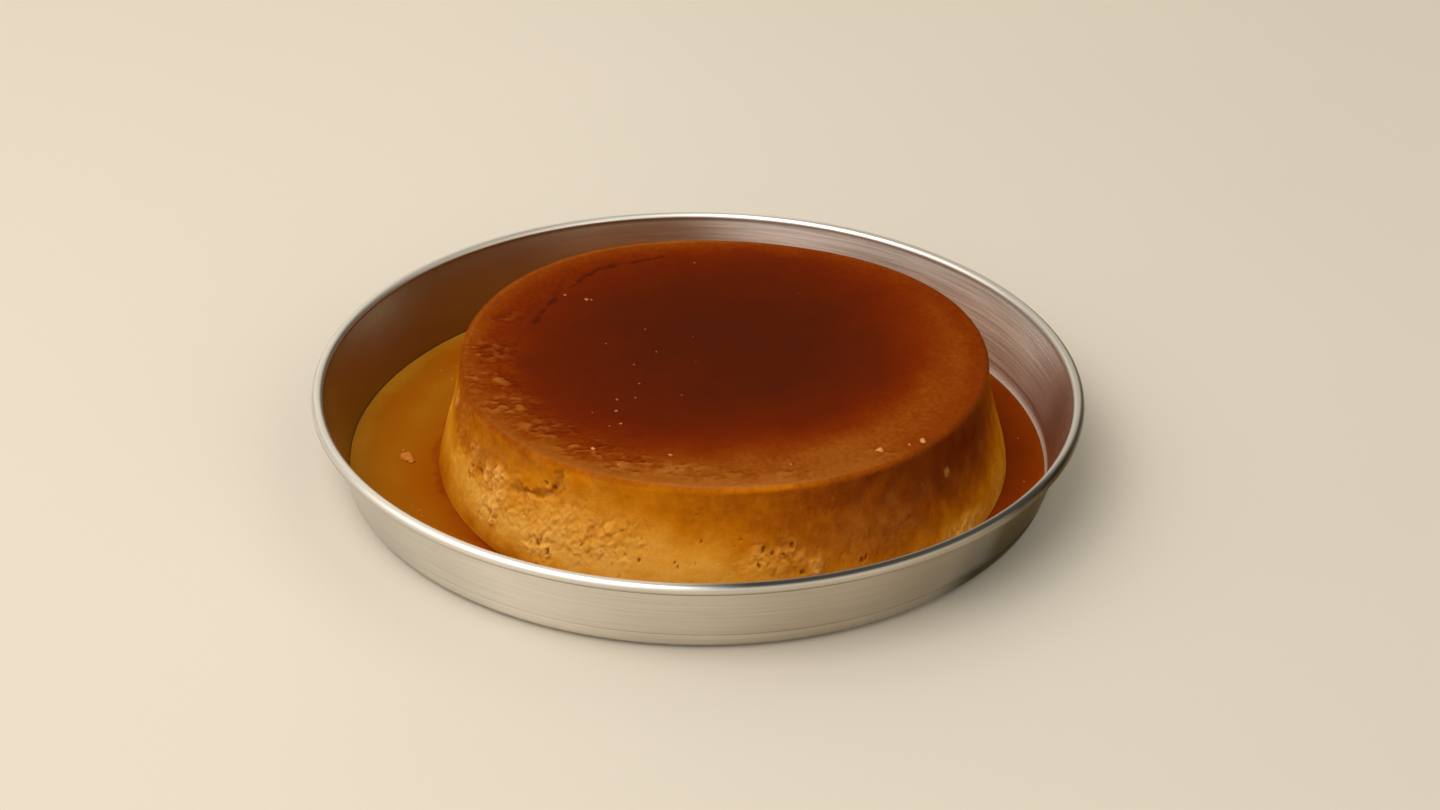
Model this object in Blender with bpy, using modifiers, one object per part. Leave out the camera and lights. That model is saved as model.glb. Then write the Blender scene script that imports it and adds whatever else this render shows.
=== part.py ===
"""Flan cheesecake turned out onto a round aluminium tray, with caramel pooled around it.

Three separate pieces in metres, +Z up, with the origin under the middle of the tray:
  pan           spun aluminium tray with a rolled bead, a stepped wall and a rounded corner
  flan          the cheesecake custard, wider at its foot than at its top, a little uneven
  caramel_pool  the runny caramel lying between the flan's foot and the tray's wall
"""

import math

import bmesh
import bpy

# ---- driving dimensions -------------------------------------------------------------------

PAN_RADIUS = 0.1525  # to the outside of the bead: a 12 inch tray
PAN_HEIGHT = 0.0357
SHEET = 0.0010  # thickness of the aluminium
BEAD_RADIUS = 0.0023
FLOOR_RADIUS = 0.1335  # the flat part of the tray's floor
CORNER_RADIUS = 0.0075  # outside radius of the turn from floor to wall
STEP_OUT = 0.0008  # the wall jogs outwards this far above the corner
STEP_RISE = 0.0011

FLAN_TOP = 0.0476  # height of the flan's top above the table
FLAN_TOP_RADIUS = 0.1043
FLAN_TOP_CENTRE = (0.0091, -0.0025)
FLAN_FOOT_RADIUS = 0.1138
FLAN_FOOT_CENTRE = (0.0100, -0.0036)
FLAN_WAIST = 0.0014  # how far the side is drawn in from a straight cone
WAIST_BIAS = 1.6  # above 1 it puts the waist in the side's upper half, so that the foot flares
FLAN_EDGE_RADIUS = 0.0018  # rounding between the side and the top

CARAMEL_LEVEL = 0.0036  # height of the pool's surface above the table
GAP = 0.0003  # clearance between pieces that touch

# The flan isn't a true circle: each wave is (times round, size in metres, direction in degrees).
TOP_WAVES = ((2, 0.0009, 13.0), (3, 0.0012, 12.0), (4, 0.0009, 40.0))
FOOT_WAVES = ((2, 0.0006, 76.0), (5, 0.0005, 16.0))

SEGMENTS = 96  # round the tray and the food alike
CORNER_STEPS = 5
BEAD_STEPS = 6  # over the bead's upper half
CURL_STEPS = 4  # from the bead's outermost point back under to the wall
EDGE_STEPS = 3
SIDE_STEPS = 7

SMOOTH_ANGLE = math.radians(35)


# ---- helpers ------------------------------------------------------------------------------


def clear_scene():
    for obj in list(bpy.data.objects):
        bpy.data.objects.remove(obj, do_unlink=True)


def linear(channel):
    """One sRGB channel, 0 to 255, as the linear value that a shader takes."""
    value = channel / 255
    return value / 12.92 if value <= 0.04045 else ((value + 0.055) / 1.055) ** 2.4


def make_material(name, rgb, roughness, metallic=0.0):
    material = bpy.data.materials.new(name)
    material.use_nodes = True
    shader = material.node_tree.nodes["Principled BSDF"]
    shader.inputs["Base Color"].default_value = (*map(linear, rgb), 1.0)
    shader.inputs["Roughness"].default_value = roughness
    shader.inputs["Metallic"].default_value = metallic
    return material


def arc(centre, radius, start, end, steps):
    """Points (r, z) along an arc in the r-z plane, both ends included, with angles in degrees."""
    points = []
    for i in range(steps + 1):
        angle = math.radians(start + (end - start) * i / steps)
        points.append((centre[0] + radius * math.cos(angle), centre[1] + radius * math.sin(angle)))
    return points


def add_object(name, mesh, material, collection):
    obj = bpy.data.objects.new(name, mesh)
    mesh.materials.append(material)
    collection.objects.link(obj)
    return obj


# ---- the tray -----------------------------------------------------------------------------


def pan_profile():
    """The tray's section: from its floor's middle up the inside, over the bead, down the outside."""
    corner = (FLOOR_RADIUS, CORNER_RADIUS)
    bead = (PAN_RADIUS - BEAD_RADIUS, PAN_HEIGHT - BEAD_RADIUS)
    inside = arc(corner, CORNER_RADIUS - SHEET, -90, 0, CORNER_STEPS)
    inside.append((inside[-1][0] + STEP_OUT, inside[-1][1] + STEP_RISE))

    # The sheet rises to the bead's inner side, curls outwards over it and comes back under.
    wall_outside = bead[0] - BEAD_RADIUS + SHEET
    meeting = math.degrees(math.acos((wall_outside - bead[0]) / BEAD_RADIUS))
    curl = arc(bead, BEAD_RADIUS, 180, 0, BEAD_STEPS) + arc(bead, BEAD_RADIUS, 0, -meeting, CURL_STEPS)[1:]

    outside = arc(corner, CORNER_RADIUS, 0, -90, CORNER_STEPS)
    outside.insert(0, (outside[0][0] + STEP_OUT, outside[0][1] + STEP_RISE))
    return [(0.0, SHEET), *inside, *curl, *outside, (0.0, 0.0)]


def make_pan(collection):
    profile = pan_profile()
    mesh = bpy.data.meshes.new("pan")
    mesh.from_pydata([(r, 0.0, z) for r, z in profile], [(i, i + 1) for i in range(len(profile) - 1)], [])
    material = make_material("brushed_aluminium", (196, 190, 178), 0.32, metallic=1.0)
    pan = add_object("pan", mesh, material, collection)

    screw = pan.modifiers.new("turn", "SCREW")
    screw.steps = SEGMENTS
    screw.render_steps = SEGMENTS
    screw.use_merge_vertices = True
    screw.merge_threshold = 0.00001
    screw.use_smooth_shade = True
    return pan


# ---- the food -----------------------------------------------------------------------------


def waved(radius, waves, angle):
    """A radius that rises and falls round the cake."""
    return radius + sum(
        size * math.cos(count * (angle - math.radians(direction))) for count, size, direction in waves
    )


def flan_outline(angle, height):
    """The point (x, y) on the flan's side at this angle and height above the table."""
    rise = max(0.0, min(1.0, (height - CARAMEL_LEVEL) / (FLAN_TOP - CARAMEL_LEVEL)))
    foot = waved(FLAN_FOOT_RADIUS, FOOT_WAVES, angle)
    top = waved(FLAN_TOP_RADIUS, TOP_WAVES, angle)
    radius = foot + (top - foot) * rise - FLAN_WAIST * math.sin(math.pi * rise**WAIST_BIAS)
    middle = [f + (t - f) * rise for f, t in zip(FLAN_FOOT_CENTRE, FLAN_TOP_CENTRE)]
    return middle[0] + radius * math.cos(angle), middle[1] + radius * math.sin(angle)


def ring(height, move=0.0):
    """A loop of points round the flan's side, moved outwards by this much, or inwards if below 0."""
    points = []
    for i in range(SEGMENTS):
        angle = 2 * math.pi * i / SEGMENTS
        x, y = flan_outline(angle, height)
        points.append((x + move * math.cos(angle), y + move * math.sin(angle), height))
    return points


def loft(name, rings, ends, material, collection):
    """A closed solid through rings of points, with its ends capped, or joined to each other."""
    bm = bmesh.new()
    loops = [[bm.verts.new(point) for point in points] for points in rings]
    pairs = list(zip(loops, loops[1:]))
    if ends == "joined":
        pairs.append((loops[-1], loops[0]))
    for lower, upper in pairs:
        for i in range(len(lower)):
            j = (i + 1) % len(lower)
            bm.faces.new((lower[i], lower[j], upper[j], upper[i]))
    if ends == "capped":
        for loop in (loops[0], loops[-1]):
            count = len(loop)
            middle = bm.verts.new([sum(v.co[k] for v in loop) / count for k in range(3)])
            for i in range(count):
                bm.faces.new((loop[i], loop[(i + 1) % count], middle))
    bmesh.ops.recalc_face_normals(bm, faces=bm.faces)
    mesh = bpy.data.meshes.new(name)
    bm.to_mesh(mesh)
    bm.free()
    mesh.shade_smooth()
    mesh.set_sharp_from_angle(angle=SMOOTH_ANGLE)
    return add_object(name, mesh, material, collection)


def make_flan(collection):
    foot = SHEET + GAP
    shoulder = FLAN_TOP - FLAN_EDGE_RADIUS
    rings = [ring(foot), ring(CARAMEL_LEVEL)]
    for i in range(1, SIDE_STEPS + 1):
        rings.append(ring(CARAMEL_LEVEL + (shoulder - CARAMEL_LEVEL) * i / SIDE_STEPS))
    for inwards, up in arc((-FLAN_EDGE_RADIUS, 0), FLAN_EDGE_RADIUS, 0, 90, EDGE_STEPS)[1:]:
        rings.append(ring(shoulder + up, inwards))
    material = make_material("baked_custard", (193, 126, 39), 0.45)
    return loft("flan", rings, "capped", material, collection)


def tray_ring(radius, height):
    """A loop of points round the tray's axis, in step with the flan's rings."""
    angles = [2 * math.pi * i / SEGMENTS for i in range(SEGMENTS)]
    return [(radius * math.cos(a), radius * math.sin(a), height) for a in angles]


def make_caramel_pool(collection):
    """The pool is a ring of liquid: the flan's foot inside, the tray's rounded corner outside."""
    floor = SHEET + GAP
    reach = CORNER_RADIUS - floor
    slope = math.degrees(math.asin((CORNER_RADIUS - CARAMEL_LEVEL) / reach))
    rings = [ring(CARAMEL_LEVEL, GAP), ring(floor, GAP)]
    for radius, height in arc((FLOOR_RADIUS, CORNER_RADIUS), reach, -90, -slope, EDGE_STEPS):
        rings.append(tray_ring(radius, height))
    material = make_material("liquid_caramel", (150, 84, 14), 0.08)
    return loft("caramel_pool", rings, "joined", material, collection)


def main():
    clear_scene()
    collection = bpy.data.collections.new("flan_cheesecake")
    bpy.context.scene.collection.children.link(collection)
    make_pan(collection)
    make_flan(collection)
    make_caramel_pool(collection)


main()
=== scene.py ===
"""Looks for the flan cheesecake on its round aluminium tray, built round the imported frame.

Everything is in metres, +Z up, in the frame's own axes, with angles in degrees anticlockwise
from +X, so that 270 faces the camera. The pieces are:
  tray            spun aluminium, with its rolled bead, its step and its turning marks
  cheesecake      the custard's side and underside, with its pores, crumbs and tears
  caramel_glaze   the cheesecake's top: caramel lying in a dip, and a soaked rim round it
  caramel_sauce   the pool of caramel round the cheesecake's foot
  crumbs          loose bits of custard in the caramel
"""

import math

import bmesh
import bpy
import numpy as np
from mathutils import Matrix, Vector, noise


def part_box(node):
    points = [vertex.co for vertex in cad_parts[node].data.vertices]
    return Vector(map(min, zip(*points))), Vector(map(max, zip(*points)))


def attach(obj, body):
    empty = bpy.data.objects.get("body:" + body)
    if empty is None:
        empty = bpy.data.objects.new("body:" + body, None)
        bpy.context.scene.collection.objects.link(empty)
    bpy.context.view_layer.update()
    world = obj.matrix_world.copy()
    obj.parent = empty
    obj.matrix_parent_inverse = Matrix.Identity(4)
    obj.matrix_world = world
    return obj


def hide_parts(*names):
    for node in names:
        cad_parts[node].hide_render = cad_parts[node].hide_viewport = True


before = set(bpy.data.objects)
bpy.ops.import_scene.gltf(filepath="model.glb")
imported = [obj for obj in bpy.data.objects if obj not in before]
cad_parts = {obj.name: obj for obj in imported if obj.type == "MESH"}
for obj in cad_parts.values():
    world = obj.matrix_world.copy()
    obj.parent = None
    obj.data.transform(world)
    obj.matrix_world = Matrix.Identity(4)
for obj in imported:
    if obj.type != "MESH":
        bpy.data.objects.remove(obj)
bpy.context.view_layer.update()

# ---- sizes read from the frame ----

_, TRAY_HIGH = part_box("pan")
FLAN_LOW, FLAN_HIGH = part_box("flan")
_, POOL_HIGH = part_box("caramel_pool")

TRAY_RADIUS = TRAY_HIGH.x
TRAY_TOP = TRAY_HIGH.z
FLAN_TOP = FLAN_HIGH.z
POOL_TOP = POOL_HIGH.z
FOOT = FLAN_LOW.z

# ---- sizes that the CAD part also uses ----

SHEET = 0.001  # thickness of the aluminium
BEAD_RADIUS = 0.0023
FLOOR_RADIUS = 0.1335  # the flat part of the tray's floor
CORNER_RADIUS = 0.0075  # outside radius of the turn from floor to wall
STEP_OUT = 0.0008  # the wall jogs outwards this far above the corner
STEP_BLEND = 0.0013  # height over which the wall steps outwards
BEVEL = 0.001  # width of the bare ring of metal just above the caramel
BEVEL_SLOPE = 36.0  # degrees that it leans out from upright
EDGE_RADIUS = 0.0018  # rounding between the flan's side and its top

# ---- camera and light ----

CAMERA_PLACE = (0.0, -1.1035, 0.649)
CAMERA_YAW = 0.45  # degrees to the right of +Y
CAMERA_PITCH = 29.532  # degrees down
CAMERA_ROLL = 0.927  # degrees anticlockwise, seen from behind it
CAMERA_LENS = 79.7
SENSOR_WIDTH = 36.0

LIGHT_COLOUR = (1.0, 0.98, 0.95)
LIGHTS = {  # azimuth and elevation in degrees, distance and size in metres, power in watts
    "key": (230.0, 60.0, 4.5, 3.5, 94.0),  # in front and to the left
    "side": (185.0, 58.0, 1.1, 0.8, 1.8),  # smaller and nearer, to the left
}

# ---- mesh density ----

COLUMNS = 1080  # round the flan
CROWDING = 0.35  # how much closer the columns stand in front than behind, as a share
ROW_SPACING = 0.0006  # on the flan and the tray, but wider towards the top's middle
FINE_BAND = 0.038  # width of the closely meshed band inside the top's rim
COARSENING = 1.12  # how much further apart each row lies than the last, inside that band
TOP_REACH = 0.1005  # how far in from the side the top's rows run
TRAY_COLUMNS = 384
WALL_ROWS = 48  # up the inside of the tray's wall


# ---- helpers ----


def linear(rgb):
    """An sRGB colour, 0 to 255 a channel, as the linear RGBA that a shader takes."""
    shares = [channel / 255 for channel in rgb]
    return [c / 12.92 if c <= 0.04045 else ((c + 0.055) / 1.055) ** 2.4 for c in shares] + [1.0]


def smooth(low, high, value):
    """0 below low, 1 above high, and a smooth step between them."""
    share = np.clip((value - low) / (high - low), 0, 1)
    return share * share * (3 - 2 * share)


def bumps(points, size, seed):
    """Smooth noise, about -1 to 1, at each point. One lump is about this size across."""
    places = (points.reshape(-1, 3) / size + seed * 7.31).tolist()
    return np.array([noise.noise(place) for place in places]).reshape(points.shape[:-1]) * 1.6


def swirl(points, size, seed, axes):
    """Smooth noise for each of some axes, for pushing places about."""
    return np.stack([bumps(points, size, seed + axis) for axis in range(axes)], -1)


def crumbled(points, size, seed):
    """Rounded crumbs pressed together, about this size: their height, about -1 to 1."""
    places = (points.reshape(-1, 3) / size + seed * 3.17).tolist()
    found = [noise.voronoi(place) for place in places]
    gaps = np.array([distances[1] - distances[0] for distances, _ in found])
    centres = np.array([nearest[0][:] for _, nearest in found])
    levels = np.sin(centres @ (12.9, 78.2, 37.7) * 43.7)
    return (1.3 * smooth(0.0, 0.35, gaps) - 0.9 + 0.45 * levels).reshape(points.shape[:-1])


def by_angle(stops, angles):
    """A value that changes smoothly with the angle through the given stops, (degrees, value)."""
    degrees, values = np.array(stops, float).T
    degrees = np.concatenate((degrees - 360, degrees, degrees + 360))
    values = np.tile(values, 3)
    wanted = np.degrees(angles) % 360
    index = np.searchsorted(degrees, wanted, side="right") - 1
    share = (wanted - degrees[index]) / (degrees[index + 1] - degrees[index])
    share = share * share * (3 - 2 * share)
    return values[index] * (1 - share) + values[index + 1] * share


def by_angle_and_share(places, rows, angles, where):
    """A value given at some places across, for some degrees round: rows of (degrees, percents)."""
    table = np.array(rows, float)
    columns = [by_angle(table[:, (0, i)], angles) / 100 for i in range(1, len(places) + 1)]
    value = columns[0]
    for i in range(1, len(places)):
        share = np.clip((where - places[i - 1]) / (places[i] - places[i - 1]), 0, 1)
        value = value + (columns[i] - columns[i - 1]) * share
    return value


def grid_normals(grid):
    """Unit normals of a grid of points (row, column round, xyz), whose rows run inwards over the top."""
    along = np.roll(grid, -1, 1) - np.roll(grid, 1, 1)
    across = np.gradient(grid, axis=0)
    normals = np.cross(along, across)
    return normals / np.maximum(np.linalg.norm(normals, axis=2, keepdims=True), 1e-12)


def grid_faces(rows, columns):
    """Quads between neighbouring rows of a grid that closes round on itself."""
    row, column = np.mgrid[0 : rows - 1, 0:columns]
    beside = (column + 1) % columns
    corners = (row * columns + column, row * columns + beside, (row + 1) * columns + beside,
               (row + 1) * columns + column)
    return np.stack(corners, -1).reshape(-1, 4).tolist()


def fan_faces(ring, centre):
    """Triangles from a ring of vertex numbers to one middle vertex."""
    return [(a, b, centre) for a, b in zip(ring, ring[1:] + ring[:1])]


def closed_grid(grid, middle, low, high):
    """Vertices and faces of a grid whose end rows are each fanned to a middle point at this height."""
    rows, columns = grid.shape[:2]
    count = rows * columns
    vertices = np.vstack((grid.reshape(-1, 3), [[*middle, low], [*middle, high]]))
    faces = grid_faces(rows, columns)
    faces += fan_faces(list(range(columns))[::-1], count)
    faces += fan_faces(list(range(count - columns, count)), count + 1)
    return vertices, faces


def add_to_scene(name, data):
    thing = bpy.data.objects.new(name, data)
    bpy.context.scene.collection.objects.link(thing)
    return thing


def add_piece(name, points, faces, material, nodes=(), normals=None):
    """A mesh piece that rides on the root body and stands for the CAD nodes named."""
    mesh = bpy.data.meshes.new(name)
    mesh.from_pydata(np.asarray(points).reshape(-1, 3).tolist(), [], faces)
    mesh.materials.append(material)
    mesh.shade_smooth()
    if normals is not None:
        mesh.normals_split_custom_set_from_vertices(normals.tolist())
    piece = add_to_scene(name, mesh)
    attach(piece, "root")
    if nodes:
        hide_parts(*nodes)
    return piece


def store(piece, name, values):
    """A number at each vertex, for the material to read. Vertices past the end of values get 0."""
    full = np.zeros(len(piece.data.vertices), np.float32)
    full[: values.size] = values.ravel()
    piece.data.attributes.new(name, "FLOAT", "POINT").data.foreach_set("value", full)


# ---- material helpers ----


def new_material(name):
    material = bpy.data.materials.new(name)
    material.use_nodes = True
    tree = material.node_tree
    return material, tree, tree.nodes["Principled BSDF"]


def feed(tree, node, inputs):
    """Set a node's inputs to numbers, or link them to sockets."""
    for key, value in inputs.items():
        if isinstance(value, bpy.types.NodeSocket):
            tree.links.new(value, node.inputs[key])
        else:
            node.inputs[key].default_value = value


def add(tree, kind, inputs=None, **settings):
    """A shader node of this kind, with its settings and inputs."""
    node = tree.nodes.new("ShaderNode" + kind)
    for key, value in settings.items():
        setattr(node, key, value)
    feed(tree, node, inputs or {})
    return node


def math_node(tree, operation, *values):
    return add(tree, "Math", dict(enumerate(values)), operation=operation).outputs[0]


def vector_node(tree, operation, *values):
    return add(tree, "VectorMath", dict(enumerate(values)), operation=operation).outputs


def mix(tree, factor, a, b, blend="MIX"):
    inputs = {0: factor, 6: a, 7: b}
    return add(tree, "Mix", inputs, data_type="RGBA", blend_type=blend).outputs[2]


def ramp(tree, factor, stops):
    """A colour ramp through stops (place, sRGB colour)."""
    node = add(tree, "ValToRGB", {"Fac": factor})
    elements = node.color_ramp.elements
    while len(elements) < len(stops):
        elements.new(1.0)
    for element, (place, rgb) in zip(elements, stops):
        element.position = place
        element.color = linear(rgb)
    return node.outputs["Color"]


def read(tree, name):
    """A number that store() put on the mesh."""
    return add(tree, "Attribute", attribute_name=name).outputs["Fac"]


def object_place(tree):
    return add(tree, "TexCoord").outputs["Object"]


def fine_noise(tree, scale, detail, roughness):
    """Noise over the object's own coordinates. Scale is in lumps a metre."""
    inputs = {"Vector": object_place(tree), "Scale": scale, "Detail": detail, "Roughness": roughness}
    return add(tree, "TexNoise", inputs).outputs["Fac"]


# ---- materials ----

# Colour of the custard as more and more caramel soaks into it or lies over it.
SIDE_STOPS = (
    (0.0, (228, 170, 78)), (0.15, (215, 146, 42)), (0.3, (190, 112, 10)), (0.42, (161, 85, 7)),
    (0.54, (135, 63, 8)), (0.7, (109, 47, 8)), (1.0, (88, 28, 4)),
)
TOP_STOPS = (
    (0.0, (222, 166, 96)), (0.2, (194, 124, 60)), (0.35, (168, 98, 40)), (0.45, (152, 86, 29)),
    (0.55, (139, 74, 19)), (0.65, (123, 55, 9)), (0.75, (111, 39, 5)), (0.85, (96, 30, 6)),
    (1.0, (73, 25, 9)),
)
PIT_SHADE_COLOUR = (146, 78, 12)
CRUMB_AND_HIGHLIGHT_COLOUR = (228, 168, 82)
SUNK_COLOUR = (190, 116, 34)


def custard_material(name, stops, mottling, roughness, bump_size):
    """Custard with caramel in it. The mesh says how much caramel, how much painted shade lies in a pit, and
    how pale a crumb is, partly painted highlight.
    """
    material, tree, shader = new_material(name)
    mottle = fine_noise(tree, 300.0, 4.0, 0.65)
    soak = read(tree, "soak")
    for cloud in (mottle, fine_noise(tree, 70.0, 3.0, 0.5)):
        soak = math_node(tree, "ADD", soak, math_node(tree, "MULTIPLY_ADD", cloud, mottling, -mottling / 2))
    colour = ramp(tree, soak, stops)
    colour = mix(tree, read(tree, "pit_shade"), colour, linear(PIT_SHADE_COLOUR))
    colour = mix(tree, read(tree, "crumb_and_highlight"), colour, linear(CRUMB_AND_HIGHLIGHT_COLOUR))
    grain = math_node(tree, "MULTIPLY_ADD", mottle, 2.0, fine_noise(tree, 1300.0, 3.0, 0.6))
    bump = add(tree, "Bump", {"Height": grain, "Strength": 0.6, "Distance": bump_size})
    feed(tree, shader, {
        "Base Color": colour,
        "Normal": bump.outputs["Normal"],
        "Roughness": roughness,
        "Specular IOR Level": 0.0,
        "Subsurface Weight": 0.25,
        "Subsurface Radius": (1.0, 0.45, 0.15),
        "Subsurface Scale": 0.003,
    })
    return material


POOL_STOPS = (
    (0.0, (170, 112, 26)), (0.25, (157, 97, 16)), (0.55, (151, 80, 5)), (0.8, (136, 54, 6)),
    (1.0, (102, 34, 4)),
)


def sauce_material():
    """Runny caramel, paler where it lies thin."""
    material, tree, shader = new_material("liquid_caramel")
    cloud = math_node(tree, "MULTIPLY_ADD", fine_noise(tree, 45.0, 3.0, 0.5), 0.24, -0.12)
    depth = math_node(tree, "ADD", read(tree, "depth"), cloud)
    feed(tree, shader, {
        "Base Color": ramp(tree, depth, POOL_STOPS),
        "Roughness": 0.16,
        "Specular IOR Level": 0.0,
        "Subsurface Weight": 0.2,
        "Subsurface Radius": (1.0, 0.4, 0.1),
        "Subsurface Scale": 0.003,
    })
    return material


# Olive-brown: caramel stain on the metal, and a painted warm reflection of the caramel, custard and table.
STAIN_AND_REFLECTION_COLOUR = (146, 116, 44)


def aluminium_material():
    """Spun aluminium, with fine rings round it. The mesh says where it is brushed, where painted shade
    darkens it, and where caramel stain and painted warm reflection tint it.
    """
    material, tree, shader = new_material("brushed_aluminium")
    place = object_place(tree)
    flat = vector_node(tree, "MULTIPLY", place, (1, 1, 0))[0]
    radius = vector_node(tree, "LENGTH", flat)["Value"]
    height = add(tree, "SeparateXYZ", {0: place}).outputs["Z"]
    # Noise that changes quickly across the metal and slowly along it runs in rings.
    along = vector_node(tree, "MULTIPLY", flat, (0.02, 0.02, 0))[0]
    across = add(tree, "CombineXYZ", {0: radius, 2: height}).outputs[0]
    ringwise = vector_node(tree, "ADD", across, along)[0]
    inputs = {"Vector": ringwise, "Scale": 1500.0, "Detail": 4.0, "Roughness": 0.6}
    lines = add(tree, "TexNoise", inputs).outputs["Fac"]
    coarse = add(tree, "TexNoise", inputs | {"Scale": 1000.0, "Detail": 3.0}).outputs["Fac"]
    brushed = read(tree, "brushed")
    metal = ramp(tree, lines, ((0.3, (226, 221, 212)), (0.7, (242, 238, 230))))
    streaky = ramp(tree, coarse, ((0.36, (206, 201, 193)), (0.6, (244, 240, 233))))
    metal = mix(tree, brushed, metal, streaky)
    # Painted shade and painted dark reflections darken the metal, then caramel stain and painted warm
    # reflection tint it.
    painted_shade = read(tree, "painted_shade")
    metal = mix(tree, 1.0, metal, math_node(tree, "SUBTRACT", 1.0, painted_shade), "MULTIPLY")
    metal = mix(tree, read(tree, "stain_and_reflection_tint"), metal, linear(STAIN_AND_REFLECTION_COLOUR))
    # The painted shade also dims the shine at glancing angles.
    shade_on_shine = math_node(tree, "POWER", painted_shade, 3.0)
    rough = math_node(tree, "MULTIPLY_ADD", fine_noise(tree, 30.0, 3.0, 0.5), 0.02, 0.253)
    bump = add(tree, "Bump", {"Height": lines, "Strength": 0.12, "Distance": 0.0001})
    feed(tree, shader, {
        "Base Color": metal,
        "Specular Tint": ramp(tree, shade_on_shine, ((0.0, (255, 255, 255)), (1.0, (196, 178, 126)))),
        "Roughness": math_node(tree, "MULTIPLY_ADD", read(tree, "polish"), 0.12, rough),
        "Normal": bump.outputs["Normal"],
        "Tangent": add(tree, "Tangent", direction_type="RADIAL", axis="Z").outputs[0],
        "Metallic": math_node(tree, "SUBTRACT", 1.0, read(tree, "haze")),
        "Anisotropic": brushed,
        "Anisotropic Rotation": 0.25,
    })
    return material


def crumb_material():
    """Bits of custard: pale ones, ones soaked through, and ones sunk in the pool."""
    material, tree, shader = new_material("custard_crumb")
    tone = fine_noise(tree, 700.0, 3.0, 0.6)
    custard = ramp(tree, tone, ((0.3, (190, 120, 54)), (0.7, (212, 148, 84))))
    soaked = ramp(tree, tone, ((0.3, (142, 68, 48)), (0.7, (178, 100, 76))))
    colour = mix(tree, read(tree, "pale"), soaked, custard)
    colour = mix(tree, read(tree, "sunk"), colour, linear(SUNK_COLOUR))
    feed(tree, shader, {"Base Color": colour, "Roughness": 0.4, "Specular IOR Level": 0.03})
    return material


def floor_material():
    """A pale table, painted a little darker towards the right, where the light falls off: painted shade."""
    material, tree, shader = new_material("pale_table")
    across = add(tree, "SeparateXYZ", {0: object_place(tree)}).outputs["X"]
    # Painted shade: darker towards +X, standing in for the light falling off.
    tone = math_node(tree, "MULTIPLY_ADD", fine_noise(tree, 3.0, 2.0, 0.5), 0.3, across)
    colour = ramp(tree, tone, ((0.0, (214, 205, 190)), (0.45, (205, 197, 183))))
    feed(tree, shader, {"Base Color": colour, "Roughness": 0.9, "Specular IOR Level": 0.1})
    return material


# ---- the tray ----


def arc(centre, radius, start, end, steps):
    """Points (r, z) along an arc in the r-z plane, both ends included, with angles in degrees."""
    angles = np.radians(np.linspace(start, end, steps + 1))
    return [(centre[0] + radius * math.cos(a), centre[1] + radius * math.sin(a)) for a in angles]


def divide(profile, spacing):
    """The same line with extra points, so that no two are further apart than spacing."""
    points = [profile[0]]
    for (r0, z0), (r1, z1) in zip(profile, profile[1:]):
        count = max(1, math.ceil(math.hypot(r1 - r0, z1 - z0) / spacing))
        points += [(r0 + (r1 - r0) * i / count, z0 + (z1 - z0) * i / count) for i in range(1, count + 1)]
    return points


def jog(start, steps=8):
    """The wall's small step outwards, seen from outside, rounded at both ends."""
    shares = [i / steps for i in range(1, steps + 1)]
    return [(start[0] + STEP_OUT * float(smooth(0, 1, s)), start[1] + STEP_BLEND * s) for s in shares]


def tray_profile(bare):
    """The tray's section: from its floor's middle up the inside, over the bead, down the outside.

    Bare is the width of the sloping ring of metal that shows just above the caramel.
    """
    corner = (FLOOR_RADIUS, CORNER_RADIUS)
    bead = (TRAY_RADIUS - BEAD_RADIUS, TRAY_TOP - BEAD_RADIUS)
    meeting = math.degrees(math.acos((SHEET - BEAD_RADIUS) / BEAD_RADIUS))
    floor_inside = divide([(0.001, SHEET), (FLOOR_RADIUS, SHEET)], 0.012)
    corner_inside = arc(corner, CORNER_RADIUS - SHEET, -90, -BEVEL_SLOPE, 9)
    run = math.radians(BEVEL_SLOPE)
    start = corner_inside[-1]
    across = bare * math.sin(run)
    upwards = bare * math.cos(run)
    bevel = [(start[0] + across * i / 4, start[1] + upwards * i / 4) for i in range(1, 5)]
    bevel.append((bevel[-1][0] + bare * 0.14, bevel[-1][1] + bare * 0.28 + 0.0001))
    curl = arc(bead, BEAD_RADIUS, 180, -meeting, 26)
    wall_inside = np.linspace(bevel[-1], curl[0], WALL_ROWS)[1:-1].tolist()
    corner_outside = arc(corner, CORNER_RADIUS, 0, -90, 12)
    step_outside = jog(corner_outside[0])[::-1]
    wall_outside = divide([curl[-1], step_outside[0]], ROW_SPACING)[1:-1]
    floor_outside = divide([(FLOOR_RADIUS, 0.0), (0.001, 0.0)], 0.012)[1:]
    return np.array(floor_inside + corner_inside[1:] + bevel + wall_inside + curl
                    + wall_outside + step_outside + corner_outside + floor_outside)
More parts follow.
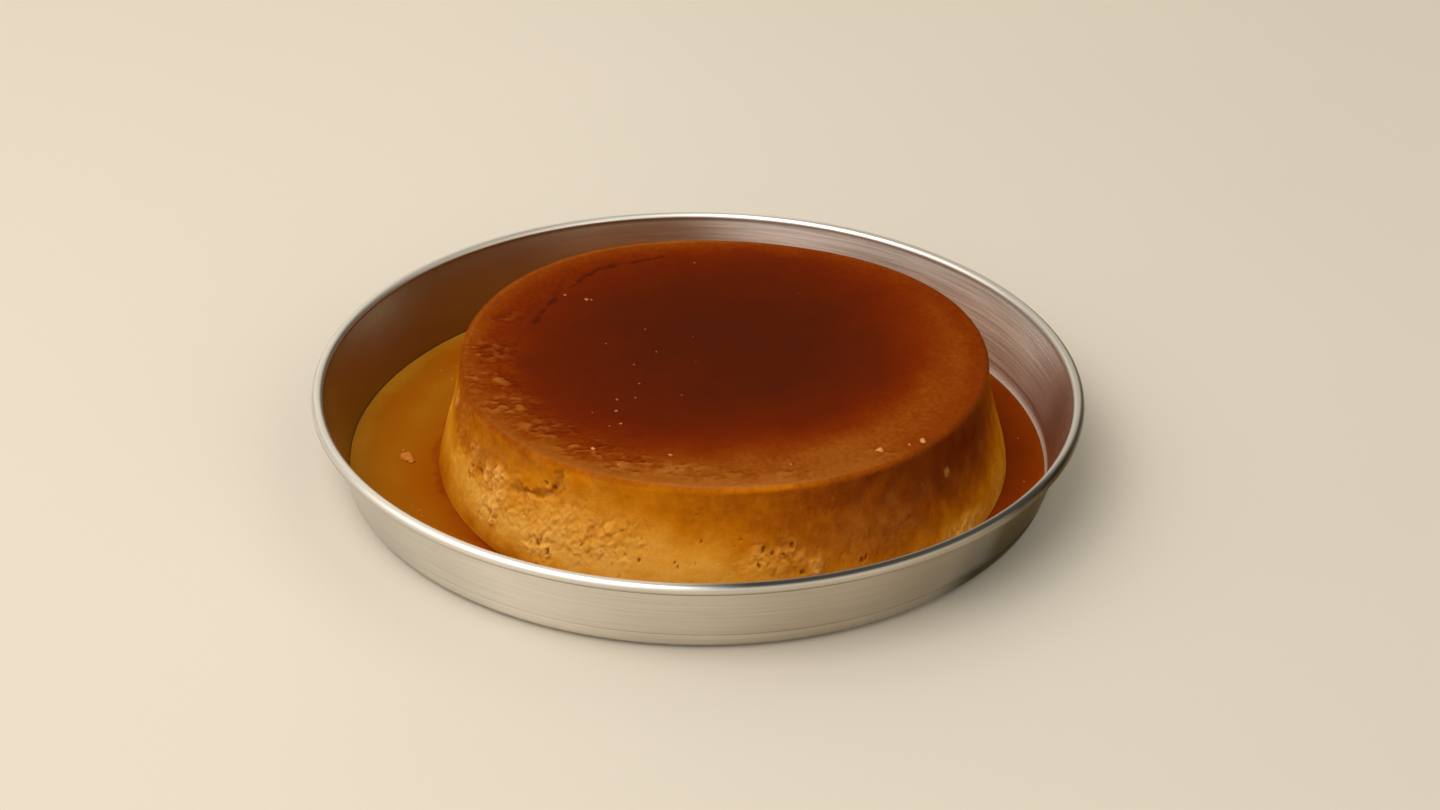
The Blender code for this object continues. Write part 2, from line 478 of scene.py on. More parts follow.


# How the tray's finish, its stains, and its painted shade and reflections change round it: (degrees,
# percent).
TRAY_FINISH = {
    "brushed": ((0, 20), (6, 30), (20, 97), (85, 97), (110, 60), (125, 15), (200, 15), (240, 25),
        (300, 25), (330, 15)),
    # where the bare ring of metal shows just above the caramel
    "bare ring": ((0, 100), (100, 100), (125, 0), (240, 0), (290, 100)),
    # painted shade and painted dark reflections on the inside
    "inner shade": ((0, 35), (10, 14), (20, 0), (60, 13), (78, 0), (92, 10), (105, 20), (125, 46),
        (150, 58), (190, 53), (230, 40), (330, 30)),
    # painted shade on the outside: the reflection of the shadowed floor, darkest on the right
    "outer shade": ((0, 50), (60, 40), (180, 45), (200, 30), (213, 30), (228, 16), (242, 0),
        (268, 7), (290, 13), (309, 36), (316, 60), (323, 86), (333, 92), (348, 70)),
    # caramel stain and painted warm reflection
    "inner tint": ((0, 26), (14, 8), (30, 0), (60, 10), (80, 5), (92, 38), (105, 45), (150, 50),
        (185, 35), (330, 20)),
    "outer tint": ((0, 50), (180, 0), (240, 0), (268, 20), (290, 38), (308, 45), (323, 24),
        (345, 28)),
    "inner haze": ((0, 12), (12, 22), (28, 22), (45, 15), (62, 2), (110, 0), (330, 0)),
    # painted shade on the inside, under the bead
    "under bead": ((0, 40), (70, 40), (110, 65), (230, 65), (290, 40)),
    # painted contact shade low on the outside
    "foot": ((0, 60), (40, 35), (90, 0), (290, 0), (306, 35), (318, 88), (332, 90), (345, 78)),
    # how much painted shade lies on the bead's inner side
    "lip": ((0, 40), (60, 30), (85, 0), (105, 0), (125, 45), (200, 42), (222, 0), (300, 0)),
    # how much painted shade lies on the bead's outer side, narrowing its highlight
    "edge": ((0, 100), (60, 80), (85, 0), (265, 0), (290, 100)),
    # how dark the painted reflection line along its top is
    "line": ((0, 25), (60, 0), (262, 0), (278, 90), (325, 90), (345, 50)),
}


def tray_looks(profile, inside, finish):
    """The values that the tray's material reads, at each point of its surface."""
    height = profile[..., 1]
    drop = TRAY_TOP - height
    bare = finish["bare ring"]
    polish = smooth(0.9 * BEAD_RADIUS, 0.55 * BEAD_RADIUS, drop)
    painted_shade = np.where(inside, finish["inner shade"], finish["outer shade"])
    stain_and_reflection_tint = np.where(inside, finish["inner tint"], finish["outer tint"])
    # Painted shade. Inside: in the step and under the bead, and a darkening on the corner where no
    # bare ring shows, partly dried caramel and partly painted dark reflection. Outside: under the fold
    # below the bead, and low on the foot.
    step = np.exp(-(((height - CORNER_RADIUS - 0.0002) / 0.00045) ** 2)) * 0.62 * bare
    corner = smooth(POOL_TOP + 0.0016, POOL_TOP + 0.0004, height) * 0.85 * (1 - bare)
    under_bead = smooth(0.0036, 0.0028, drop) * finish["under bead"]
    fold = smooth(0.0026, 0.0034, drop) * 0.5
    fold *= smooth(0.0058, 0.0046, drop)
    foot = finish["foot"] * smooth(0.024, 0.006, height)
    painted_dark = np.where(inside, np.maximum.reduce((step, corner, under_bead)), np.maximum(fold, foot))
    painted_shade = np.maximum(painted_shade, painted_dark)
    stain_and_reflection_tint = stain_and_reflection_tint * np.where(inside, 1, 1 - foot)
    # The bead is spared the painted shade and so brighter than the walls, but its outer side is as darkened
    # as the tray's outside.
    # Turn is the angle round the bead: 0 on its outer side, 90 on its top, 180 on its inner side.
    outwards = profile[..., 0] - TRAY_RADIUS + BEAD_RADIUS
    turn = np.degrees(np.arctan2(BEAD_RADIUS - drop, outwards))
    unshaded = polish * (1 - np.where(inside, 0, finish["edge"] * smooth(115, 60, turn)))
    unshaded = unshaded * (1 - finish["lip"] * smooth(45, 170, turn))
    # Painted dark reflection along the bead's top, and painted shade on its outer side, narrowing its
    # highlight.
    line = finish["line"] * polish * smooth(32, 44, turn) * smooth(106, 94, turn)
    edge = finish["edge"] * 0.42 * polish * smooth(145, 100, turn)
    painted_shade = np.maximum.reduce((painted_shade * (1 - unshaded), line, edge))
    ring = np.where(inside, smooth(POOL_TOP + 0.0024, POOL_TOP + 0.0016, height), 0) * bare
    haze = np.where(inside, finish["inner haze"], 0) * (1 - polish)
    return {
        "polish": polish,
        "brushed": finish["brushed"] * (1 - polish),
        "haze": np.maximum(haze, 0.7 * ring),
        "painted_shade": painted_shade * (1 - ring),
        "stain_and_reflection_tint": np.maximum(stain_and_reflection_tint * (1 - unshaded) * (1 - line), 0.2 * ring),
    }


def make_tray(material):
    angles = 2 * np.pi * np.arange(TRAY_COLUMNS) / TRAY_COLUMNS
    finish = {name: by_angle(stops, angles) / 100 for name, stops in TRAY_FINISH.items()}
    plain = tray_profile(0.0)
    bare = finish["bare ring"][:, None]
    profile = plain[:, None] * (1 - bare) + tray_profile(BEVEL)[:, None] * bare
    height = profile[..., 1]
    circle = np.stack((np.cos(angles), np.sin(angles)), -1)
    points = np.concatenate((profile[..., :1] * circle, height[..., None]), -1)
    # Hand-spun metal: the wall wanders a little, and its turning marks run round it.
    wall = smooth(0.01, 0.016, height) * smooth(TRAY_TOP - 0.005, TRAY_TOP - 0.009, height)
    wander = np.cos(3 * angles + 1) + 0.6 * np.cos(5 * angles - 2) + 0.5 * np.cos(11 * angles)
    levels = points * (0, 0, 1)
    marks = bumps(levels, 0.0016, 5) * (0.000006 + 0.000012 * finish["brushed"])
    marks += bumps(levels, 0.006, 6) * 0.00003
    points[..., :2] += ((wander * 0.00005 + marks) * wall)[..., None] * circle
    vertices, faces = closed_grid(points, (0, 0), SHEET, 0)
    faces = [face[::-1] for face in faces]
    tray = add_piece("tray", vertices, faces, material, ("pan",))
    tray.data.set_sharp_from_angle(angle=math.radians(40))
    inside = (np.arange(len(profile)) <= plain[:, 1].argmax())[:, None]
    for name, values in tray_looks(profile, inside, finish).items():
        store(tray, name, values)


# ---- the cheesecake's shape ----

TOP_CENTRE = np.array((0.0091, -0.0025))  # places on the top are measured from here
TOP_RADIUS = 0.104
ROOF_DEPTH = 0.0045  # the custard ends this far under the top, hidden by the glaze
GLAZE_DEPTH = 0.0042  # and the glazed top reaches down this far inside it


def measure_flan():
    """The CAD flan's rings above the pool: their heights, centres, and radii as round harmonics."""
    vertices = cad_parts["flan"].data.vertices
    points = np.unique(np.round([v.co[:] for v in vertices], 6), axis=0)
    rings = []
    for height in np.unique(points[:, 2]):
        ring = points[points[:, 2] == height]
        if len(ring) < 24 or height < POOL_TOP - 1e-5 or height > FLAN_TOP - EDGE_RADIUS + 1e-5:
            continue
        centre = ring[:, :2].mean(0)
        offset = ring[:, :2] - centre
        flat = offset @ (1, 1j)
        waves = [np.mean(abs(flat) * np.exp(-1j * k * np.angle(flat))) for k in range(6)]
        rings.append((height, *centre, *waves))
    return np.array(rings)


FLAN_RINGS = measure_flan()


def flan_outline(angles, heights):
    """Points (x, y) on the flan's side, at these angles and heights."""
    known = FLAN_RINGS[:, 0].real
    places = (known - known[0]) / (known[-1] - known[0])
    share = (np.clip(heights, known[0], None) - known[0]) / (known[-1] - known[0])
    values = [np.polyval(np.polyfit(places, column, 4), share) for column in FLAN_RINGS[:, 1:].T]
    waves = sum((wave * np.exp(1j * order * angles)).real for order, wave in enumerate(values[3:], 1))
    radius = values[2].real + 2 * waves
    x = values[0].real + radius * np.cos(angles)
    y = values[1].real + radius * np.sin(angles)
    return np.stack((x, y), -1)


def flan_section():
    """Rows of the flan's surface: (height, inset from the side's outline), up the side, over the top."""
    shoulder = FLAN_TOP - EDGE_RADIUS
    foot = POOL_TOP - 0.0012  # the side starts a little below the caramel
    count = round((shoulder - foot) / ROW_SPACING)
    rows = [(foot + (shoulder - foot) * i / count, 0.0) for i in range(count + 1)]
    steps = 5
    for i in range(1, steps + 1):
        turn = math.pi / 2 * i / steps
        rows.append((shoulder + EDGE_RADIUS * math.sin(turn), EDGE_RADIUS * (1 - math.cos(turn))))
    side_rows = len(rows)
    inset = EDGE_RADIUS
    spacing = ROW_SPACING
    while inset + spacing < TOP_REACH:
        inset += spacing
        if inset > FINE_BAND:
            spacing *= COARSENING
        rows.append((FLAN_TOP, inset))
    return rows, side_rows


def flan_grid():
    """The bare shape as a grid of points, (row, column, xyz), and how many rows are the side's."""
    rows, side_rows = flan_section()
    heights, insets = np.array(rows).T[..., None]
    even = 2 * np.pi * np.arange(COLUMNS) / COLUMNS
    angles = even - CROWDING * np.sin(even - math.radians(270))
    offset = flan_outline(angles, heights) - TOP_CENTRE
    reach = np.linalg.norm(offset, axis=2, keepdims=True)
    # Insets shrink towards the centre as a share of the radius, so that the innermost row stays round.
    share = 1 - insets[..., None] / reach.mean(1, keepdims=True)
    grid = np.empty((len(rows), COLUMNS, 3))
    grid[..., :2] = TOP_CENTRE + offset * share
    grid[..., 2] = heights
    return grid, side_rows


# Places on the side are (angle in degrees, rise): rise is 0 at the pool and 1 at the top edge.

PATCHES = (  # broken places: (angle, rise, half width, half height, lumps in mm, lift in mm, paleness)
    (218, 0.48, 5.2, 0.27, 0.85, 1.1, 1),
    (217, 0.34, 4.2, 0.15, 0.5, 0.4, 1),
    (208, 0.63, 3.2, 0.18, 0.7, 0.5, 0.4),
    (199, 0.68, 5.5, 0.34, 0.45, 0.15, 0.1),
    (190.5, 0.8, 2.2, 0.14, 0.6, 0.3, 0.45),
    (238, 0.44, 14, 0.32, 0.48, 0.1, 0.5),
    (226, 0.5, 30, 0.5, 0.28, 0, 0.2),
    (250, 0.47, 8, 0.14, 0.4, 0, 0.25),
    (281, 0.4, 7, 0.18, 0.75, 0.05, 0.35),
    (288.5, 0.29, 1.8, 0.08, 0.4, 1, 1),
    (326, 0.13, 9, 0.09, 0.7, 0.2, 0.55),
    (234, 0.22, 4, 0.09, 0.9, 0.1, 0.6),
    (324, 0.66, 1.2, 0.06, 0.2, 0.3, 0.45),
    (300, 0.45, 16, 0.3, 0.2, 0, 0.1),
)
LOBE = (229, 0.72, 4.6, 0.11)  # the swelling above the tear: (angle, rise, half width, half height)
TEAR = (
    (236.5, 0.98), (236, 0.86), (235, 0.76), (232.5, 0.69), (230, 0.645), (226, 0.62), (223.5, 0.6),
)
COMB = (290, 0.8, 7, 0.08)  # short upright scratches under the edge
PORES = (  # (angle, rise, radius in mm, depth in mm)
    (266, 0.55, 0.8, 0.7), (261, 0.36, 0.8, 0.7), (274, 0.59, 0.7, 0.6), (254, 0.34, 0.9, 0.8),
    (251, 0.37, 0.7, 0.6), (246, 0.36, 0.7, 0.6), (298, 0.28, 1.2, 1.0), (299, 0.29, 0.8, 0.9),
    (310, 0.47, 1.4, 0.7), (207, 0.4, 1.3, 1.5), (208, 0.52, 1.5, 1.6), (212, 0.53, 1.6, 1.7),
    (217, 0.66, 1.7, 1.8), (232, 0.8, 1.2, 1.3), (234, 0.77, 1.3, 1.4), (196, 0.58, 1.6, 1.2),
    (278, 0.5, 1.1, 1.2), (280, 0.46, 1.3, 1.2), (282, 0.44, 1.1, 1.2), (284, 0.5, 1.1, 1.2),
    (286, 0.27, 1.0, 1.3), (277, 0.36, 1.1, 1.2), (232, 0.26, 1.2, 1.3), (235, 0.23, 1.3, 1.4),
)
SMALL_PORES = 170  # strewn at random
# How the whole side swells and ripples: (size of a lump in mm, height in mm).
SIDE_SWELLS = ((34, 0.4), (13, 0.22), (5, 0.09), (2, 0.04))
DEGREE = 0.00195  # length along the side of one degree round the cake


def side_place(degrees, rise):
    """A place on the side laid out flat: length round it and height above the pool, in metres."""
    return np.stack((degrees * DEGREE, rise * (FLAN_TOP - POOL_TOP)), -1)


def away_from(plane, place, half_width, half_height):
    """Distance from a place, as a share of an ellipse with this half width and half height."""
    offset = plane - side_place(*place)
    return np.linalg.norm(offset / side_place(half_width, half_height), axis=-1)


def distance_to_line(plane, places):
    """Distance from each point to a line through places."""
    nearest = np.full(plane.shape[:-1], np.inf)
    for start, end in zip(places, places[1:]):
        run = end - start
        share = np.clip(((plane - start) @ run) / (run @ run), 0, 1)
        nearest = np.minimum(nearest, np.linalg.norm(plane - start - share[..., None] * run, axis=-1))
    return nearest


def crumbly(points, seed):
    """Broken custard: uneven lumps of several sizes, about -1 to 1."""
    warped = points + swirl(points, 0.0026, seed, 3) * 0.0011
    small = 0.24 * bumps(points, 0.0019, seed + 4) + 0.1 * bumps(points, 0.0009, seed + 5)
    return 0.42 * crumbled(warped, 0.005, seed) + 0.5 * bumps(warped, 0.0038, seed + 1) + small


def side_relief(points, angles, rise):
    """How far the side stands out, with the painted shade in its pits and the pale crumbs, partly painted
    highlight, that colour it.
    """
    warped = side_place(np.degrees(angles), rise) + swirl(points, 0.002, 11, 2) * 0.00045
    warped += swirl(points, 0.006, 13, 2) * 0.0009
    relief = np.zeros(points.shape[:-1])
    for seed, (size, height) in enumerate(SIDE_SWELLS, 1):
        relief += bumps(points, size / 1000, seed) * height / 1000
    lumps = crumbly(points, 7)
    pit_shade = np.zeros_like(relief)
    crumb_and_highlight = np.zeros_like(relief)
    for angle, height, half_width, half_height, rough, lift, pale in PATCHES:
        away = away_from(warped, (angle, height), half_width, half_height)
        patch = 1 - smooth(0.35, 1.25, away + bumps(points, 0.007, 6) * 0.35)
        relief += patch * (lumps * rough + lift) / 1000
        # Painted shade in the hollows between the lumps.
        pit_shade = np.maximum(pit_shade, patch * rough * smooth(-0.25, -0.85, lumps) * 0.6)
        # Pale broken custard, paler on the lumps' tops: partly real colour, partly painted highlight.
        crumb_and_highlight = np.maximum(crumb_and_highlight, patch * pale * (0.35 + 0.5 * smooth(-0.4, 0.5, lumps)))
    # The torn place: a smooth lobe, and a ragged cleft under it and beside it.
    lobe = 1 - smooth(0.55, 1.05, away_from(warped, LOBE[:2], *LOBE[2:]))
    relief += lobe * 0.0006
    crumb_and_highlight *= 1 - lobe
    line = distance_to_line(warped, [side_place(*place) for place in TEAR])
    width = 0.0019 + 0.0012 * bumps(points, 0.0032, 16)
    cleft = 1 - smooth(0.2 * width, 1.7 * width, line)
    relief -= cleft * (0.0012 + 0.0008 * lumps)
    # Painted shade in the cleft, under the lobe's overhang.
    pit_shade = np.maximum(pit_shade, cleft * (0.62 - 0.4 * smooth(-0.2, 0.4, lumps)))
    # Scratches under the edge.
    comb = 1 - smooth(0.5, 1.1, away_from(warped, COMB[:2], *COMB[2:]))
    scratch = comb * smooth(0.05, 0.55, bumps(points * (1, 1, 0.25), 0.0016, 17))
    relief -= scratch * 0.0004
    # Painted shade in the scratches.
    pit_shade = np.maximum(pit_shade, scratch * 0.6)
    spots = [(*pore[:2], pore[2] / 1000, pore[3] / 1000) for pore in PORES]
    random = np.random.default_rng(20)
    for _ in range(SMALL_PORES):
        size = random.uniform(0.25, 0.75) / 1000
        spots.append((random.uniform(0, 360), random.uniform(0.05, 0.8), size, size * 0.8))
    for angle, height, radius, depth in spots:
        offset = (warped - side_place(angle, height)) / radius
        near = np.clip(1 - (offset**2).sum(-1), 0, 1) ** 1.5
        relief -= near * depth
        # Painted shade in the pores.
        pit_shade = np.maximum(pit_shade, smooth(0.0, 0.7, near) * min(1.0, radius * 1100))
    return relief, pit_shade, crumb_and_highlight * (1 - 0.85 * pit_shade)


# How much caramel has run down and soaked into the side: (degrees, percent at each rise).
# On the right, 285 to 346 degrees, the higher values are partly real caramel and partly painted shade.
SOAK_RISES = (0.05, 0.2, 0.35, 0.5, 0.65, 0.8, 0.95)
SIDE_SOAK = (
    (0, 20, 24, 30, 38, 46, 50, 50), (60, 22, 24, 28, 34, 42, 46, 46),
    (120, 24, 24, 26, 30, 36, 40, 44), (180, 34, 28, 22, 24, 32, 34, 40),
    (195, 36, 31, 20, 28, 44, 44, 47), (205, 30, 22, 13, 20, 43, 38, 46),
    (215, 33, 12, 8, 30, 38, 36, 37), (225, 34, 13, 3, 26, 28, 31, 40), (235, 30, 7, 6, 13, 24, 27, 31),
    (245, 22, 8, 10, 17, 22, 24, 36), (255, 15, 12, 10, 11, 25, 33, 32),
    (265, 15, 12, 10, 18, 31, 35, 36), (275, 15, 15, 16, 26, 34, 41, 42),
    (285, 18, 23, 31, 40, 46, 48, 50), (295, 20, 25, 39, 47, 54, 59, 58),
    (305, 22, 32, 43, 51, 58, 58, 70), (315, 22, 28, 45, 57, 70, 71, 76),
    (325, 17, 20, 46, 62, 78, 90, 84), (335, 18, 30, 44, 62, 78, 90, 74),
    (346, 16, 22, 36, 47, 60, 66, 60),
)


def side_soak(points, angles, rise):
    """How much caramel shows in the side, with streaks and clouds in it."""
    across = rise + bumps(points, 0.01, 22) * 0.035 + bumps(points * (1, 1, 0.3), 0.0035, 21) * 0.015
    soak = by_angle_and_share(SOAK_RISES, SIDE_SOAK, angles, across)
    streaks = bumps(points * (1, 1, 0.3), 0.0024, 25) * 0.035 + bumps(points, 0.006, 23) * 0.08
    return soak * (1 + streaks)


CARAMEL_HEIGHT = -0.00015  # of the caramel in the dip, over the CAD plane
MENISCUS = 0.00008  # how softly it meets the custard

# The caramel on the top lies in a dip. Round the cake these give the dip's edge and the width of
# its slope as percents of the top's radius, and how far the rim stands above the caramel, in mm.
DIP_EDGE = (
    (0, 73), (25, 75), (45, 80), (75, 86), (103, 86), (125, 85), (145, 80), (160, 78),
    (177, 75), (202, 74), (217, 74), (238, 72), (263, 74), (287, 68), (307, 64),
    (331, 66),
)
DIP_SLOPE = (
    (0, 42), (45, 32), (90, 20), (125, 10), (155, 10), (175, 20), (200, 20), (240, 16),
    (265, 20), (300, 30),
)
RIM_HEIGHT = (
    (0, 0.05), (60, 0.05), (100, 0.2), (125, 0.4), (150, 0.4), (175, 0.35), (200, 0.35), (240, 0.3),
    (270, 0.12), (300, 0.08),
)
FLAKES = (  # flaky places: (angle, percent of the radius, half width and half depth in mm, strength)
    (180, 88, 13, 11, 0.9), (195, 88, 13, 11, 1.0), (208, 87, 13, 10, 1.0),
    (222, 86, 14, 9, 1.0), (236, 86, 14, 9, 1.0), (248, 88, 14, 9, 0.9), (260, 88, 14, 8, 0.8),
    (273, 90, 13, 7, 0.55), (287, 90, 12, 7, 0.45), (161, 88, 7, 7, 0.6), (309, 91, 8, 5, 0.3),
)
# The broken line where the dip's edge has cracked: (angle, percent of the radius).
RIDGE = (
    (161, 76), (153, 78), (146, 79), (141, 82), (136, 81), (130, 84), (124, 86),
    (106, 86),
)

# How much caramel shows in the top: (degrees, percent at each share of the radius).
# The last column's rise on the right, 320 to 20 degrees, is painted shade where the rounded rim turns away
# from the light.
SOAK_SHARES = (0.3, 0.6, 0.72, 0.82, 0.9, 0.97)
TOP_SOAK = (
    (0, 98, 89, 78, 67, 62, 70), (20, 99, 90, 79, 73, 66, 72), (45, 99, 94.5, 88, 83, 77, 70),
    (75, 99, 94, 91, 88, 83, 70), (100, 99, 95, 89, 85, 78, 64), (125, 99, 94, 88, 84, 77, 66),
    (150, 98, 92, 86, 80, 76, 66), (175, 97, 90.5, 87, 78, 76, 62), (200, 95, 90.5, 86, 74, 66, 61),
    (220, 95, 89, 84, 74, 63, 56), (240, 95, 88.5, 79, 69, 60, 52), (260, 97, 85, 74, 61, 53, 46),
    (280, 96.5, 82.5, 68, 60, 56, 46), (300, 97.5, 86, 70, 56, 55, 52), (320, 98, 86, 72, 61, 62, 66),
    (340, 98, 87.5, 77, 62, 63, 69),
)
# How much paler the very edge is, in percent: bare custard, and painted highlight where the rounded edge
# catches the light.
BARE_LINE = (
    (0, 0), (60, 5), (100, 15), (160, 10), (200, 2), (235, 14), (280, 18), (300, 0),
)


def polar(centre, radius, angle):
    """The point (x, y) at this distance from a centre, in this direction."""
    turn = math.radians(angle)
    return centre + radius * np.array((math.cos(turn), math.sin(turn)))


def top_place(angle, percent):
    """A place on the top, this far of the way from its centre to its rim."""
    return polar(TOP_CENTRE, percent / 100 * TOP_RADIUS, angle)


def flaky_places(plan):
    """How flaky the top is at each point (x, y), 0 to 1."""
    flaky = np.zeros(plan.shape[:-1])
    for angle, percent, half_width, half_depth, strength in FLAKES:
        away = (plan - top_place(angle, percent)) / (half_width / 1000, half_depth / 1000)
        flaky = np.maximum(flaky, strength * (1 - smooth(0.4, 1.2, np.linalg.norm(away, axis=-1))))
    return flaky


def flake_crests(points):
    """Small flakes that stand up a little, 0 to 1, wider than they are deep."""
    wide = points * (0.72, 1.0, 1.0) + swirl(points, 0.004, 35, 3) * 0.001
    flakes = bumps(wide, 0.0031, 33) + 0.4 * bumps(wide, 0.0014, 34) + 0.3 * bumps(points, 0.007, 36)
    return smooth(-0.45, 0.85, flakes)


def top_relief(points, angles, share):
    """Height of the top over its CAD plane, its soak, and the painted highlight on its flakes' crests."""
    edge = by_angle(DIP_EDGE, angles) / 100
    edge += bumps(points, 0.011, 31) * 0.026 + bumps(points, 0.0045, 32) * 0.01
    slope = by_angle(DIP_SLOPE, angles) / 100
    outside = smooth(edge - slope / 2, edge + slope / 2, share)
    ragged = flaky_places(points[..., :2])
    flaky = ragged * outside
    crest = flake_crests(points)
    slit = flake_crests(points - (0.0, 0.001, 0.0)) * (1 - crest)
    custard = outside * (0.003 + by_angle(RIM_HEIGHT, angles) / 1000) - 0.003
    custard += flaky * (0.00026 * crest - 0.00012 * slit)
    # A soft maximum of the custard's height and the caramel's.
    height = CARAMEL_HEIGHT + MENISCUS * np.logaddexp(0, (custard - CARAMEL_HEIGHT) / MENISCUS)
    wander = bumps(points, 0.012, 39) * 0.018
    wander += bumps(points * (0.5, 1, 1), 0.005, 40) * (0.01 + 0.035 * ragged)
    soak = by_angle_and_share(SOAK_SHARES, TOP_SOAK, angles, share + wander) + 0.015
    # Painted shade in the slit behind each flake and painted highlight on its crest.
    soak += flaky * (0.2 * slit - 0.14 * crest + 0.05) + 0.035 * bumps(points, 0.0018, 41) * outside
    plan = points[..., :2] + swirl(points, 0.004, 42, 2) * 0.0007
    ridge = distance_to_line(plan, [top_place(*place) for place in RIDGE])
    crack = (1 - smooth(0.0003, 0.0015, ridge)) * smooth(-0.75, -0.05, bumps(points, 0.006, 44))
    height -= crack * 0.0003
    # Painted shadow along the crack.
    soak += crack * 0.16
    # Paler along the very edge: bare custard and painted highlight.
    rim = smooth(0.978, 0.992, share + bumps(points, 0.004, 38) * 0.003)
    bare = by_angle(BARE_LINE, angles) / 100 * rim
    return height, soak * (1 - bare), flaky * crest * 0.04


def pulled_in(row, share, height):
    """A row of points shrunk towards the top's centre and laid at this height."""
    return np.column_stack((TOP_CENTRE + (row[:, :2] - TOP_CENTRE) * share, np.full(COLUMNS, height)))


def add_food(name, grid, normals, low, high, material, nodes=()):
    """A closed piece of food round the top's centre, shaded by these normals of its grid."""
    vertices, faces = closed_grid(grid, TOP_CENTRE, low, high)
    normals = np.vstack((normals.reshape(-1, 3), [[0, 0, -1], [0, 0, 1]]))
    return add_piece(name, vertices, faces, material, nodes, normals)


def make_cheesecake(side_material, top_material):
    """The custard's side and the glazed top, which meet on the rounded edge. Gives back their grid."""
    grid, side_rows = flan_grid()
    seam = side_rows - 1
    offset = grid[..., :2] - TOP_CENTRE
    angles = np.arctan2(offset[..., 1], offset[..., 0]) % (2 * np.pi)
    rise = np.clip((grid[..., 2] - POOL_TOP) / (FLAN_TOP - POOL_TOP), 0, 1)
    reach = np.linalg.norm(offset, axis=-1)
    share = reach / reach[seam]

    side = grid[:side_rows]
    level = side[..., 2]
    relief, pit_shade, crumb_and_highlight = side_relief(side, angles[:side_rows], rise[:side_rows])
    relief *= smooth(FLAN_TOP, FLAN_TOP - 0.0035, level) * 0.9 + 0.1
    relief *= smooth(POOL_TOP - 0.001, POOL_TOP + 0.003, level)
    height, soak_top, flakes = top_relief(grid[seam:], angles[seam:], share[seam:])

    moved = grid.copy()
    moved[:side_rows] += grid_normals(grid)[:side_rows] * relief[..., None]
    moved[side_rows:, :, 2] += height[1:]
    # The rounded edge follows the top's first row, so that the two pieces meet.
    moved[:side_rows, :, 2] += smooth(FLAN_TOP - EDGE_RADIUS, FLAN_TOP, level) * height[0]
    soak_edge = smooth(FLAN_TOP - EDGE_RADIUS, FLAN_TOP - 0.0002, level)
    soak_side = side_soak(side, angles[:side_rows], rise[:side_rows])
    soak_side = soak_side * (1 - soak_edge) + soak_top[0] * soak_edge
    normals = grid_normals(moved)
    up = np.tile((0.0, 0.0, 1.0), (1, COLUMNS, 1))

    foot = pulled_in(moved[0], 1.0, FOOT)
    roof = pulled_in(moved[seam], 0.99, FLAN_TOP - ROOF_DEPTH)
    custard = np.concatenate((foot[None], moved[:side_rows], roof[None]))
    shading = np.concatenate((normals[:1], normals[:side_rows], up))
    body = add_food("cheesecake", custard, shading, FOOT, FLAN_TOP - ROOF_DEPTH,
                    side_material, ("flan",))
    for name, values in (("soak", soak_side), ("pit_shade", pit_shade), ("crumb_and_highlight", crumb_and_highlight)):
        store(body, name, np.concatenate((values[:1], values)))

    below = pulled_in(moved[seam], 0.992, FLAN_TOP - GLAZE_DEPTH)
    shading = np.concatenate((-up, normals[seam:]))
    glaze = add_food("caramel_glaze", np.concatenate((below[None], moved[seam:])), shading,
                     FLAN_TOP - GLAZE_DEPTH, moved[-1, :, 2].mean(), top_material)
    soak = np.concatenate((soak_top[:1], soak_top))
    store(glaze, "soak", np.append(soak.ravel(), (soak[0, 0], soak_top[-1].mean())))
    store(glaze, "crumb_and_highlight", np.concatenate((flakes[:1], flakes)))
    return moved


# ---- the pool of caramel ----

POOL_STEPS = 34  # from the flan to the tray, closer together at both ends
# How dark the pool is: (degrees, percent at each share of the way from the flan to the tray).
POOL_SHARES = (0.0, 0.05, 0.3, 0.42, 0.55, 0.78, 0.86, 1.0)
POOL_DEPTH = (
    (0, 95, 90, 85, 85, 85, 80, 80, 75), (90, 80, 70, 70, 70, 70, 70, 70, 60),
    (150, 62, 48, 34, 38, 50, 50, 28, 8), (165, 62, 46, 34, 38, 50, 50, 26, 6),
    (178, 66, 50, 42, 44, 46, 40, 16, 6), (190, 70, 54, 50, 46, 36, 26, 18, 12),
    (205, 84, 68, 52, 48, 42, 34, 30, 20), (225, 95, 80, 56, 45, 40, 35, 30, 20),
    (245, 60, 45, 35, 30, 30, 30, 30, 20), (290, 80, 70, 65, 65, 65, 65, 65, 60),
)


